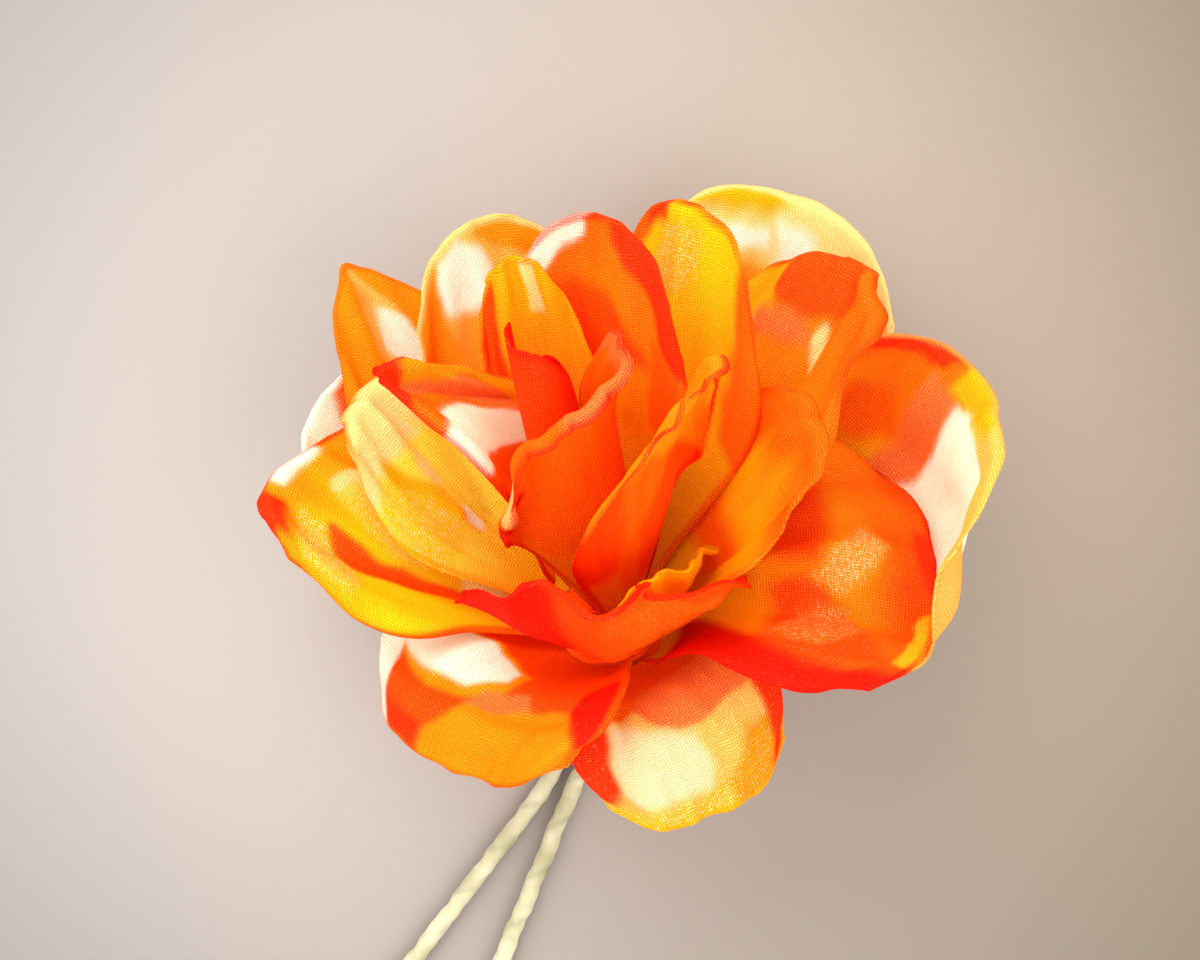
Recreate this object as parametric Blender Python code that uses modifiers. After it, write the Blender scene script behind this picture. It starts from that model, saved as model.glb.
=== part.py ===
"""A fabric rose boutonniere on two tape-wrapped wire stems, lying on a flat surface.

The bloom has an axis of its own, which runs from its base, where the petals are bound, to the bud.
A petal is placed round that axis by its turn (0 faces forward, 90 is right, 180 is back and 270 is
left) and follows a line of its own, given as distances from the axis and heights along it.
Sizes are in millimetres, and angles in degrees.
"""

import math
from collections import namedtuple

import bmesh
import bpy
import numpy as np
from mathutils import Vector
from mathutils.bvhtree import BVHTree

MM = 0.001

# The bloom's base above the surface, and how far its axis tips back and leans to the left
BASE = (0.45, 1.07, 14.0)
AXIS_TILT = 45
AXIS_LEAN = 10

# The cloth, the gap between pieces that touch, and how finely a petal is divided
CLOTH = 0.6
GAP = 0.35
ROWS = 12
COLUMNS = 12

# The solid core that the petals are bound to: distance from the axis and height, top and foot
CORE_TOP = (2.3, 15.0)
CORE_FOOT = (5.4, 4.0)

# The rolled bud: its turns, radius inside and outside, how much it narrows to its mouth, where its
# free edge lies, and the height of its rim at shares of the way from that edge to the inner one
BUD_TURNS = 1.4
BUD_INNER = 1.2
BUD_OUTER = 3.4
BUD_NARROWING = 0.2
BUD_EDGE = 235
BUD_RIM = ((0.0, 46.0), (0.25, 45.2), (0.45, 39.8), (0.62, 41.5), (1.0, 36.0))
BUD_COLUMNS = 22

# The neck of wound tape, as points beside the base with a radius at each
NECK = (
    ((-0.6, 2.5, 2.5), 4.6),
    ((-0.3, 1.2, 1.2), 4.2),
    ((0.0, -0.4, -0.4), 3.4),
    ((-0.3, -2.2, -2.4), 2.7),
    ((-1.1, -3.8, -4.6), 2.3),
    ((-2.2, -5.1, -6.6), 2.1),
)

# The wires: their radius with the tape, and routes beside the base's foot, with heights above the
# surface
STEM_RADIUS = 0.9
STEM_LEFT = (
    (-3.15, -4.6, 7.2),
    (-4.3, -6.4, 4.6),
    (-6.2, -9.2, 1.6),
    (-8.6, -13.3, 0.9),
    (-13.2, -19.4, 0.9),
    (-21.3, -30.0, 0.9),
    (-34.6, -47.3, 0.9),
)
STEM_RIGHT = (
    (-1.45, -5.8, 7.2),
    (-2.4, -7.8, 4.6),
    (-4.2, -10.8, 1.6),
    (-6.1, -15.0, 0.9),
    (-7.9, -19.4, 0.9),
    (-12.5, -30.4, 0.9),
    (-20.3, -49.2, 0.9),
)
STEM_STEP = 3.2

Petal = namedtuple(
    "Petal",
    "name turn root middle width wrap slope left right ruffle waves lean tip corner foot",
    defaults=(0.0, 2.0, 0.0, 0.0, 0.22, 0.22),
)
# root is the height where a petal leaves the core, and middle the points that its middle line
# follows from there. wrap is how closely it bends round the axis, slope lifts its right side, left
# and right roll its side rims outwards, ruffle and waves ripple its rim, lean turns it as it
# rises, tip draws it out to a point, corner rounds its shoulders off and foot is its width at the
# root against its full width.
PETALS = (
    Petal("petal_heart_left", 253, 15, ((5.2, 24), (7.4, 34), (12, 40.5)), 12, 0.9, 1.1, 20, 20, corner=0.1),
    Petal("petal_heart_right", 42, 14, ((5.2, 26), (5.8, 36), (7.5, 42.5)), 21.5, 1.0, 0.5, 100, 20),
    Petal("petal_heart_back", 193, 13, ((7.5, 22), (10.5, 33), (14, 42.5)), 10.5, 1.0, 0, 10, 20),
    Petal("petal_heart_front", 38, 12.5, ((8, 24), (11, 35), (15.5, 43)), 17, 0.8, 0.1, 20, 90, lean=24),
    Petal("petal_crown", 165, 12, ((8.5, 23), (12, 34), (16.5, 44.5)), 18.5, 0.9, -0.1, 10, 40),
    Petal("petal_front_inner", 45, 10, ((9, 15), (12, 20), (13.7, 24.5)), 17, 0.9, -0.55, 20, 20),
    Petal("petal_left_inner", 240, 10, ((12, 17), (18, 24), (22, 30)), 16, 0.8, 0, 20, 60),
    Petal("petal_tall", 145, 10, ((12.5, 20), (18, 31), (23.5, 41)), 19, 0.3, 0, 10, 60),
    Petal("petal_right_inner", 100, 9.5, ((12, 17), (18, 22.5), (22, 27)), 22, 0.8, 0, 10, 20),
    Petal("petal_front", 8, 8.5, ((10, 15.5), (12.4, 22), (14, 28)), 27, 0.8, -0.15, 30, 30, 1, 3, foot=0.6),
    Petal("petal_ear", 130, 8.5, ((16.5, 17), (26, 24), (34, 30)), 20, 0.6, 0, -30, 20),
    Petal("petal_left", 252, 7.5, ((14, 14), (21.5, 21), (28, 26)), 25, 0.8, 0.3, 20, 30),
    Petal("petal_back_left", 196, 7, ((14, 15), (20.5, 26), (26.5, 38)), 20, 0.8, 0, 10, 10),
    Petal("petal_point_left", 219, 7, ((15, 14), (24, 23), (34, 34)), 19.5, 0.8, 0, 0, 0, tip=0.18),
    Petal("petal_right_front", 86, 7, ((13, 11.5), (21, 12.5), (31, 7.5)), 32, 0.8, 0.05, 30, 30, foot=0.35),
    Petal("petal_low_left", 317, 7, ((12, 11), (17, 10.5), (20.5, 6.5)), 26, 0.7, -0.2, 30, 30, foot=0.5),
    Petal("petal_low_front", 24, 6.5, ((12.5, 9), (17.5, 6), (20.5, 0.5)), 20, 0.7, 0.05, 30, 30, foot=0.5),
    Petal("petal_right", 109, 6, ((19, 10), (30, 15.5), (39.3, 20)), 33, 0.6, 0.12, 20, 20),
    Petal("petal_back_right", 149, 6, ((19, 11), (31, 19), (39.2, 29.3)), 33, 0.6, 0, 20, 20),
    Petal("petal_far_left", 232, 5, ((17, 9), (25, 16), (30.5, 25.5)), 24, 0.7, 0, 20, 20),
    Petal("petal_low_right", 125, 4, ((17, 3.9), (26, 1.4), (32, -2.1)), 28, 0.6, 0, 20, 20),
    Petal("petal_low_back", 215, 4, ((18, 5.8), (27, 9.3), (34, 12.8)), 30, 0.6, 0, 20, 20),
)

# The outline that petals share: where along its length a petal is widest and how it flares out to
# there, how much it draws in again to the rim, and how squarely its shoulders turn
WIDEST = 0.75
FLARE = 1.3
DRAWN_IN = 0.12
SHOULDER = 2.6

# The rolled side rims: the share of half the width that bends, along which rows and how far out
# from the middle the roll sets in, and the tightest radius that a petal wraps round the axis with
ROLL_BAND = 0.28
ROLL_ROWS = (0.3, 0.85)
ROLL_SIDES = (0.45, 1.0)
LEAST_BEND = 4.0

# Laying one petal over another: how far apart their middles stay, how far a petal looks for
# others, how alike two faces must point to lie on each other, the steepest crossing that is allowed
# for, how square to a face another petal must lie, how small a shift is left alone, and how often
# it is tried and softened
CLEAR = CLOTH + GAP
REACH = 5.0
ALIKE = 0.25
STEEPEST = 0.6
SQUARE = 0.8
SMALL = 0.01
ROUNDS = 10
SOFTENING = 10


def bloom_frame():
    """The bloom's own directions: to its right, forward, and up its axis."""
    tilt = math.radians(AXIS_TILT)
    lean = math.radians(AXIS_LEAN)
    up = np.array([-math.sin(lean), math.sin(tilt) * math.cos(lean), math.cos(tilt) * math.cos(lean)])
    right = np.array([1.0, 0.0, 0.0]) - up * up[0]
    right /= np.linalg.norm(right)
    return right, np.cross(right, up), up


RIGHT, FORWARD, UP = bloom_frame()


def smooth_step(x, low, high):
    x = np.clip((x - low) / (high - low), 0, 1)
    return x * x * (3 - 2 * x)


def curve_through(points, pieces=20):
    """A smooth line through the points, spaced evenly along its length, and its length."""
    p = np.array(points, float)
    p = np.vstack([2 * p[0] - p[1], p, 2 * p[-1] - p[-2]])
    line = []
    for a, b, c, d in zip(p, p[1:], p[2:], p[3:]):
        for x in np.linspace(0, 1, pieces, endpoint=False):
            bend = (2 * a - 5 * b + 4 * c - d) * x**2 + (3 * b - a - 3 * c + d) * x**3
            line.append(b + 0.5 * ((c - a) * x + bend))
    line.append(p[-2])
    line = np.array(line)
    steps = np.linalg.norm(np.diff(line, axis=0), axis=1)
    length = np.concatenate([[0], np.cumsum(steps)])
    even = np.linspace(0, length[-1], len(line))
    spaced = [np.interp(even, length, line[:, k]) for k in range(line.shape[1])]
    return np.stack(spaced, axis=1), length[-1]


def core_radius(height):
    share = (height - CORE_FOOT[1]) / (CORE_TOP[1] - CORE_FOOT[1])
    return CORE_FOOT[0] + (CORE_TOP[0] - CORE_FOOT[0]) * share


def petal_grid(p, rows=ROWS, columns=COLUMNS):
    """The petal's middle surface, as rows of points from the root to the rim, left to right."""
    s = np.linspace(0, 1, rows + 1)[:, None] + np.zeros((1, columns + 1))
    t = np.linspace(-1, 1, columns + 1)[None, :] + np.zeros((rows + 1, 1))
    root = (core_radius(p.root) + CLEAR - CLOTH / 2, p.root)
    line, _ = curve_through((root,) + p.middle)
    slope = np.gradient(line, axis=0)
    slope /= np.linalg.norm(slope, axis=1)[:, None]
    reach = s * (1 - p.corner * np.abs(t) ** SHOULDER - p.tip * np.abs(t))
    share = np.linspace(0, 1, len(line))
    out = np.interp(reach, share, line[:, 0])
    height = np.interp(reach, share, line[:, 1])
    slope_out = np.interp(reach, share, slope[:, 0])
    slope_up = np.interp(reach, share, slope[:, 1])

    swell = np.sin(np.pi / 2 * np.clip(s / WIDEST, 0, 1)) ** FLARE
    half = p.width / 2 * (p.foot + (1 - p.foot) * swell)
    half = half * (1 - DRAWN_IN * smooth_step(s, WIDEST, 1))
    roll = np.radians(np.where(t < 0, p.left, p.right)) / (ROLL_BAND * half)
    roll = roll * smooth_step(s, *ROLL_ROWS) * smooth_step(np.abs(t), *ROLL_SIDES)
    step = half * 2 / columns
    bend = (p.wrap / np.maximum(out, LEAST_BEND) - roll) * step

    middle = columns // 2
    side = np.zeros_like(s)
    inward = np.zeros_like(s)
    for sign in (1, -1):
        angle = np.zeros(rows + 1)
        for k in range(1, middle + 1):
            now = middle + sign * k
            before = now - sign
            angle = angle + (bend[:, now] + bend[:, before]) / 2
            side[:, now] = side[:, before] + sign * np.cos(angle) * step[:, now]
            inward[:, now] = inward[:, before] + np.sin(angle) * step[:, now]
    wave = p.ruffle * s**2 * np.cos(p.waves * np.pi * t)

    turn = np.radians(p.turn + p.lean * s)[..., None]
    away = FORWARD * np.cos(turn) + RIGHT * np.sin(turn)
    across = RIGHT * np.cos(turn) - FORWARD * np.sin(turn)
    tangent = away * slope_out[..., None] + UP * slope_up[..., None]
    outward = away * slope_up[..., None] - UP * slope_out[..., None]
    points = away * out[..., None] + UP * height[..., None]
    points = points + across * side[..., None] + outward * (wave - inward)[..., None]
    points = points + tangent * (p.slope * side * s)[..., None]
    return rest(points + np.array(BASE))


def rest(points):
    """Presses a sheet's lowest points flat on the surface."""
    return np.stack([points[..., 0], points[..., 1], np.maximum(points[..., 2], CLOTH / 2)], axis=-1)


def bud_grid(rows=ROWS, columns=BUD_COLUMNS):
    """The bud's middle surface: a sheet rolled inwards from its free edge at the left."""
    s = np.linspace(0, 1, rows + 1)[:, None] + np.zeros((1, columns + 1))
    t = np.linspace(0, 1, columns + 1)[None, :] + np.zeros((rows + 1, 1))
    degrees = BUD_EDGE + 360 * BUD_TURNS * t
    turn = np.radians(degrees)
    foot = CORE_TOP[1] + GAP
    line, _ = curve_through(BUD_RIM)
    rim = np.interp(t, line[:, 0], line[:, 1])
    radius = (BUD_OUTER + (BUD_INNER - BUD_OUTER) * t) * (1 - BUD_NARROWING * s**3)
    turn = turn[..., None]
    away = FORWARD * np.cos(turn) + RIGHT * np.sin(turn)
    points = away * radius[..., None] + UP * (foot + (rim - foot) * s)[..., None]
    return points + np.array(BASE)


def sheet_mesh(name, points):
    """A grid of triangles laid on the points, with diagonals that alternate."""
    rows = points.shape[0] - 1
    columns = points.shape[1] - 1
    grid = bmesh.new()
    bmesh.ops.create_grid(grid, x_segments=columns, y_segments=rows, size=1)
    quads = list(grid.faces)
    for parity, split in ((0, "FIXED"), (1, "ALTERNATE")):
        chosen = [quad for k, quad in enumerate(quads) if (k + k // columns) % 2 == parity]
        bmesh.ops.triangulate(grid, faces=chosen, quad_method=split)
    for corner, point in zip(grid.verts, points.reshape(-1, 3)):
        corner.co = Vector(point) * MM
    mesh = bpy.data.meshes.new(name)
    grid.to_mesh(mesh)
    grid.free()
    return mesh


class Sheet:
    """A sheet's points with what is needed to find how far other points lie from it."""

    def __init__(self, points, faces):
        self.points = points
        self.faces = faces
        flat = points.reshape(-1, 3)
        self.tree = BVHTree.FromPolygons([Vector(v) for v in flat], faces.tolist())
        corners = flat[faces]
        normal = np.cross(corners[:, 1] - corners[:, 0], corners[:, 2] - corners[:, 0])
        normal /= np.linalg.norm(normal, axis=1)[:, None]
        at_points = np.zeros_like(flat)
        for k in range(3):
            np.add.at(at_points, faces[:, k], normal)
        at_points /= np.linalg.norm(at_points, axis=1)[:, None]
        self.outward = at_points
        # Samples: the corners, edge middles and centre of each triangle, each with its face
        shares = np.array([[1, 0, 0], [0, 1, 0], [0, 0, 1], [0.5, 0.5, 0], [0, 0.5, 0.5], [0.5, 0, 0.5]])
        shares = np.vstack([shares, [1 / 3, 1 / 3, 1 / 3]])
        self.samples = np.einsum("sk,fkx->fsx", shares, corners).reshape(-1, 3)
        aim = np.einsum("sk,fkx->fsx", shares, at_points[faces]).reshape(-1, 3)
        self.aims = aim / np.linalg.norm(aim, axis=1)[:, None]
        self.sample_faces = np.repeat(np.arange(len(faces)), len(shares))
        self.low = flat.min(axis=0)
        self.high = flat.max(axis=0)

    def near(self, other):
        return bool(np.all(self.low - REACH < other.high) and np.all(other.low - REACH < self.high))


def needed_shift(own, others):
    """How far each point of a petal has to move outwards to clear the sheets inside it."""
    need = np.zeros(len(own.outward))

    def ask(face, shift):
        for k in own.faces[face]:
            need[k] = max(need[k], shift)

    for other in others:
        if not own.near(other):
            continue
        for spot, aim, face in zip(own.samples, own.aims, own.sample_faces):
            start = Vector(spot + aim * REACH)
            hit, normal, _, distance = other.tree.ray_cast(start, Vector(-aim), REACH + 2 * CLEAR)
            if hit is None or normal.dot(Vector(aim)) < ALIKE:
                continue
            shift = REACH - distance + CLEAR / max(normal.dot(Vector(aim)), STEEPEST)
            if shift > 0:
                ask(face, shift)
        for spot, aim in zip(other.samples, other.aims):
            place = Vector(spot)
            hit, normal, face, distance = own.tree.find_nearest(place, REACH)
            if hit is None or normal.dot(Vector(aim)) < ALIKE:
                continue
            level = (place - hit).dot(normal)
            if distance > CLEAR and abs(level) < SQUARE * distance:
                continue
            if level > -CLEAR:
                ask(face, level + CLEAR)
    return need


def soften(need, shape):
    """Spreads a shift to the points round it, never below what is needed."""
    need = need.reshape(shape)
    shift = need
    for _ in range(SOFTENING):
        padded = np.pad(shift, 1, mode="edge")
        around = padded[:-2, 1:-1] + padded[2:, 1:-1] + padded[1:-1, :-2] + padded[1:-1, 2:]
        shift = np.maximum(need, (around + 2 * shift) / 6)
    return shift.reshape(-1)


def lay_over(points, faces, others):
    """Moves a petal outwards until it lies clear of every sheet inside it."""
    shape = points.shape
    for _ in range(ROUNDS):
        own = Sheet(points, faces)
        need = needed_shift(own, others)
        if need.max() < SMALL:
            break
        shift = soften(need, shape[:2])
        points = rest(points + (own.outward * shift[:, None]).reshape(shape))
    return points


def grid_faces(points):
    """The triangles that sheet_mesh makes on a grid of this size."""
    mesh = sheet_mesh("faces", points)
    faces = np.array([tuple(face.vertices) for face in mesh.polygons])
    bpy.data.meshes.remove(mesh)
    return faces


def all_sheets():
    """The bud and the petals, from the inside out, each laid over the ones before."""
    bud = bud_grid()
    laid = [Sheet(bud, grid_faces(bud))]
    faces = grid_faces(petal_grid(PETALS[0]))
    for p in PETALS:
        points = lay_over(petal_grid(p), faces, laid)
        laid.append(Sheet(points, faces))
    return laid


def material(name, colour, roughness=0.6):
    made = bpy.data.materials.new(name)
    made.use_nodes = True
    shader = made.node_tree.nodes["Principled BSDF"]
    shader.inputs["Base Color"].default_value = (*colour, 1)
    shader.inputs["Roughness"].default_value = roughness
    shader.inputs["Metallic"].default_value = 0.0
    return made


def add_object(name, data, finish, collection):
    data.materials.append(finish)
    obj = bpy.data.objects.new(name, data)
    collection.objects.link(obj)
    return obj


def add_sheet(name, points, finish, collection):
    mesh = sheet_mesh(name, points)
    mesh.shade_smooth()
    obj = add_object(name, mesh, finish, collection)
    solid = obj.modifiers.new("thickness", "SOLIDIFY")
    solid.thickness = CLOTH * MM
    solid.offset = 0
    return obj


def add_tube(name, points, radii, finish, collection):
    """A tube through the points, with a radius at each and flat ends."""
    curve = bpy.data.curves.new(name, "CURVE")
    curve.dimensions = "3D"
    curve.bevel_depth = MM
    curve.bevel_resolution = 2
    curve.use_fill_caps = True
    spline = curve.splines.new("POLY")
    spline.points.add(len(points) - 1)
    for place, point, radius in zip(spline.points, points, radii):
        place.co = (*(Vector(point) * MM), 1)
        place.radius = radius
    return add_object(name, curve, finish, collection)


def add_stem(name, route, finish, collection):
    line, length = curve_through(route)
    count = round(length / STEM_STEP) + 1
    share = np.linspace(0, 1, len(line))
    evenly = np.linspace(0, 1, count)
    points = np.stack([np.interp(evenly, share, line[:, k]) for k in range(3)], axis=1)
    points[:, 2] = np.maximum(points[:, 2], STEM_RADIUS)
    points = points + np.array([BASE[0], BASE[1], 0])
    return add_tube(name, points, [STEM_RADIUS] * count, finish, collection)


def main():
    for obj in list(bpy.data.objects):
        bpy.data.objects.remove(obj)
    rose = bpy.data.collections.new("rose_boutonniere")
    bpy.context.scene.collection.children.link(rose)

    sheets = all_sheets()
    names = ["bud"] + [p.name for p in PETALS]
    for k, (name, sheet) in enumerate(zip(names, sheets)):
        share = k / len(PETALS)
        colour = (0.95, 0.09 + 0.22 * share, 0.01 + 0.02 * share)
        add_sheet(name, sheet.points, material(name, colour), rose)

    binding = material("binding", (0.9, 0.14, 0.02), 0.7)
    core_line = ((CORE_TOP[0], CORE_TOP[1]), (CORE_FOOT[0], CORE_FOOT[1]))
    core_points = [np.array(BASE) + UP * height for _, height in core_line]
    add_tube("core", core_points, [radius for radius, _ in core_line], binding, rose)
    tape = material("tape", (0.62, 0.66, 0.42), 0.7)
    neck_points = [np.array(BASE) + np.array(point) for point, _ in NECK]
    add_tube("neck", neck_points, [radius for _, radius in NECK], tape, rose)
    add_stem("stem_left", STEM_LEFT, tape, rose)
    add_stem("stem_right", STEM_RIGHT, tape, rose)


main()
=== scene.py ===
"""The looks of the fabric rose boutonniere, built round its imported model.

The petals' shapes repeat the model's: the same table, the same outlines and the same way of laying
one over another, and then each is drawn finer, dyed and given its weave. Lengths are in millimetres
and angles in degrees until a mesh is made.
"""

import math
from collections import namedtuple

import bmesh
import bpy
import numpy as np
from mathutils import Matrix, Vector
from mathutils.bvhtree import BVHTree


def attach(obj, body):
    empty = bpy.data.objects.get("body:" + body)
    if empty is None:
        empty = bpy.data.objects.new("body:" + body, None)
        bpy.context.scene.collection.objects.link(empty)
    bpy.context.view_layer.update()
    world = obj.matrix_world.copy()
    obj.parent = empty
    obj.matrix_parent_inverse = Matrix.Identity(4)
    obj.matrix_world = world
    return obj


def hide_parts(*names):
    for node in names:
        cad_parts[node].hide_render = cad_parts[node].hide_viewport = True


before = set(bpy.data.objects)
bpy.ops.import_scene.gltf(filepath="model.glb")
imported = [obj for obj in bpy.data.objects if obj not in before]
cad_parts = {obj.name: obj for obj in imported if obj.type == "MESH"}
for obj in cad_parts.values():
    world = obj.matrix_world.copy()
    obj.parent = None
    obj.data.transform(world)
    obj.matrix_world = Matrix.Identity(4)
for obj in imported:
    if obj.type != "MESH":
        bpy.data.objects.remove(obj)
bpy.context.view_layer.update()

MM = 0.001

# The bloom's base above the surface, and how far its axis tips back and leans to the left
BASE = (0.45, 1.07, 14.0)
AXIS_TILT = 45
AXIS_LEAN = 10

# The cloth, the gap between pieces that touch, and how finely a petal and each part of a curve
# are divided
CLOTH = 0.6
GAP = 0.35
ROWS = 12
COLUMNS = 12
CURVE_STEPS = 20

# The solid core that the petals are bound to: distance from the axis and height, top and foot
CORE_TOP = (2.3, 15.0)
CORE_FOOT = (5.4, 4.0)

# The rolled bud: its turns, radius inside and outside, how much it narrows to its mouth, where its
# free edge lies, and the height of its rim at shares of the way from that edge to the inner one
BUD_TURNS = 1.4
BUD_INNER = 1.2
BUD_OUTER = 3.4
BUD_NARROWING = 0.2
BUD_EDGE = 235
BUD_RIM = ((0.0, 46.0), (0.25, 45.2), (0.45, 39.8), (0.62, 41.5), (1.0, 36.0))
BUD_COLUMNS = 22

# The neck of wound tape, as points beside the base with a radius at each
NECK = (
    ((-0.6, 2.5, 2.5), 4.6),
    ((-0.3, 1.2, 1.2), 4.2),
    ((0.0, -0.4, -0.4), 3.4),
    ((-0.3, -2.2, -2.4), 2.7),
    ((-1.1, -3.8, -4.6), 2.3),
    ((-2.2, -5.1, -6.6), 2.1),
)

# The wires: their radius with the tape, and routes beside the base's foot, with heights above the
# surface
STEM_RADIUS = 0.9
STEM_LEFT = (
    (-3.15, -4.6, 7.2),
    (-4.3, -6.4, 4.6),
    (-6.2, -9.2, 1.6),
    (-8.6, -13.3, 0.9),
    (-13.2, -19.4, 0.9),
    (-21.3, -30.0, 0.9),
    (-34.6, -47.3, 0.9),
)
STEM_RIGHT = (
    (-1.45, -5.8, 7.2),
    (-2.4, -7.8, 4.6),
    (-4.2, -10.8, 1.6),
    (-6.1, -15.0, 0.9),
    (-7.9, -19.4, 0.9),
    (-12.5, -30.4, 0.9),
    (-20.3, -49.2, 0.9),
)

Petal = namedtuple(
    "Petal",
    "name turn root middle width wrap slope left right ruffle waves lean tip corner foot",
    defaults=(0.0, 2.0, 0.0, 0.0, 0.22, 0.22),
)
# root is the height where a petal leaves the core, and middle the points that its middle line
# follows from there. wrap is how closely it bends round the axis, slope lifts its right side, left
# and right roll its side rims outwards, ruffle and waves ripple its rim, lean turns it as it
# rises, tip draws it out to a point, corner rounds its shoulders off and foot is its width at the
# root against its full width.
PETALS = (
    Petal("heart_left", 253, 15, ((5.2, 24), (7.4, 34), (12, 40.5)), 12, 0.9, 1.1, 20, 20, corner=0.1),
    Petal("heart_right", 42, 14, ((5.2, 26), (5.8, 36), (7.5, 42.5)), 21.5, 1.0, 0.5, 100, 20),
    Petal("heart_back", 193, 13, ((7.5, 22), (10.5, 33), (14, 42.5)), 10.5, 1.0, 0, 10, 20),
    Petal("heart_front", 38, 12.5, ((8, 24), (11, 35), (15.5, 43)), 17, 0.8, 0.1, 20, 90, lean=24),
    Petal("crown", 165, 12, ((8.5, 23), (12, 34), (16.5, 44.5)), 18.5, 0.9, -0.1, 10, 40),
    Petal("front_inner", 45, 10, ((9, 15), (12, 20), (13.7, 24.5)), 17, 0.9, -0.55, 20, 20),
    Petal("left_inner", 240, 10, ((12, 17), (18, 24), (22, 30)), 16, 0.8, 0, 20, 60),
    Petal("tall", 145, 10, ((12.5, 20), (18, 31), (23.5, 41)), 19, 0.3, 0, 10, 60),
    Petal("right_inner", 100, 9.5, ((12, 17), (18, 22.5), (22, 27)), 22, 0.8, 0, 10, 20),
    Petal("front", 8, 8.5, ((10, 15.5), (12.4, 22), (14, 28)), 27, 0.8, -0.15, 30, 30, 1, 3, foot=0.6),
    Petal("ear", 130, 8.5, ((16.5, 17), (26, 24), (34, 30)), 20, 0.6, 0, -30, 20),
    Petal("left", 252, 7.5, ((14, 14), (21.5, 21), (28, 26)), 25, 0.8, 0.3, 20, 30),
    Petal("back_left", 196, 7, ((14, 15), (20.5, 26), (26.5, 38)), 20, 0.8, 0, 10, 10),
    Petal("point_left", 219, 7, ((15, 14), (24, 23), (34, 34)), 19.5, 0.8, 0, 0, 0, tip=0.18),
    Petal("right_front", 86, 7, ((13, 11.5), (21, 12.5), (31, 7.5)), 32, 0.8, 0.05, 30, 30, foot=0.35),
    Petal("low_left", 317, 7, ((12, 11), (17, 10.5), (20.5, 6.5)), 26, 0.7, -0.2, 30, 30, foot=0.5),
    Petal("low_front", 24, 6.5, ((12.5, 9), (17.5, 6), (20.5, 0.5)), 20, 0.7, 0.05, 30, 30, foot=0.5),
    Petal("right", 109, 6, ((19, 10), (30, 15.5), (39.3, 20)), 33, 0.6, 0.12, 20, 20),
    Petal("back_right", 149, 6, ((19, 11), (31, 19), (39.2, 29.3)), 33, 0.6, 0, 20, 20),
    Petal("far_left", 232, 5, ((17, 9), (25, 16), (30.5, 25.5)), 24, 0.7, 0, 20, 20),
    Petal("low_right", 125, 4, ((17, 3.9), (26, 1.4), (32, -2.1)), 28, 0.6, 0, 20, 20),
    Petal("low_back", 215, 4, ((18, 5.8), (27, 9.3), (34, 12.8)), 30, 0.6, 0, 20, 20),
)

# The outline that petals share: where along its length a petal is widest and how it flares out to
# there, how much it draws in again to the rim, and how squarely its shoulders turn
WIDEST = 0.75
FLARE = 1.3
DRAWN_IN = 0.12
SHOULDER = 2.6

# The rolled side rims: the share of half the width that bends, along which rows and how far out
# from the middle the roll sets in, and the tightest radius that a petal wraps round the axis with
ROLL_BAND = 0.28
ROLL_ROWS = (0.3, 0.85)
ROLL_SIDES = (0.45, 1.0)
LEAST_BEND = 4.0

# Laying one petal over another: how far apart their middles stay, how far a petal looks for
# others, how alike two faces must point to lie on each other, the steepest crossing that is allowed
# for, how square to a face another petal must lie, how small a shift is left alone, and how often
# it is tried and softened
CLEAR = CLOTH + GAP
REACH = 5.0
ALIKE = 0.25
STEEPEST = 0.6
SQUARE = 0.8
SMALL = 0.01
ROUNDS = 10
SOFTENING = 10


def bloom_frame():
    """The bloom's own directions: to its right, forward, and up its axis."""
    tilt = math.radians(AXIS_TILT)
    lean = math.radians(AXIS_LEAN)
    up = np.array([-math.sin(lean), math.sin(tilt) * math.cos(lean), math.cos(tilt) * math.cos(lean)])
    right = np.array([1.0, 0.0, 0.0]) - up * up[0]
    right /= np.linalg.norm(right)
    return right, np.cross(right, up), up


RIGHT, FORWARD, UP = bloom_frame()


def smooth_step(x, low, high):
    x = np.clip((x - low) / (high - low), 0, 1)
    return x * x * (3 - 2 * x)


def lengths(points, axis=0):
    """How far each point lies from the start of its line, along it."""
    steps = np.linalg.norm(np.diff(points, axis=axis), axis=-1)
    return np.insert(np.cumsum(steps, axis=axis), 0, 0, axis=axis)


def shares(rows, columns, left=-1):
    """Each grid point's share along a sheet, from 0 to 1, and across it, from the left value to 1."""
    return np.meshgrid(np.linspace(0, 1, rows + 1), np.linspace(left, 1, columns + 1), indexing="ij")


def smooth_between(a, b, c, d, x):
    """The smooth curve from b to c, with a before them and d after them, at a share of its way."""
    bend = (2 * a - 5 * b + 4 * c - d) * x**2 + (3 * b - a - 3 * c + d) * x**3
    return b + 0.5 * ((c - a) * x + bend)


def curve_through(points):
    """A smooth line through the points, with its own spaced evenly along it."""
    p = np.array(points, float)
    p = np.vstack([2 * p[0] - p[1], p, 2 * p[-1] - p[-2]])
    steps = np.linspace(0, 1, CURVE_STEPS, endpoint=False)
    line = [smooth_between(*four, x) for four in zip(p, p[1:], p[2:], p[3:]) for x in steps]
    line = np.array(line + [p[-2]])
    length = lengths(line)
    even = np.linspace(0, length[-1], len(line))
    return np.stack([np.interp(even, length, line[:, k]) for k in range(line.shape[1])], axis=1)


def core_radius(height):
    share = (height - CORE_FOOT[1]) / (CORE_TOP[1] - CORE_FOOT[1])
    return CORE_FOOT[0] + (CORE_TOP[0] - CORE_FOOT[0]) * share


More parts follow.
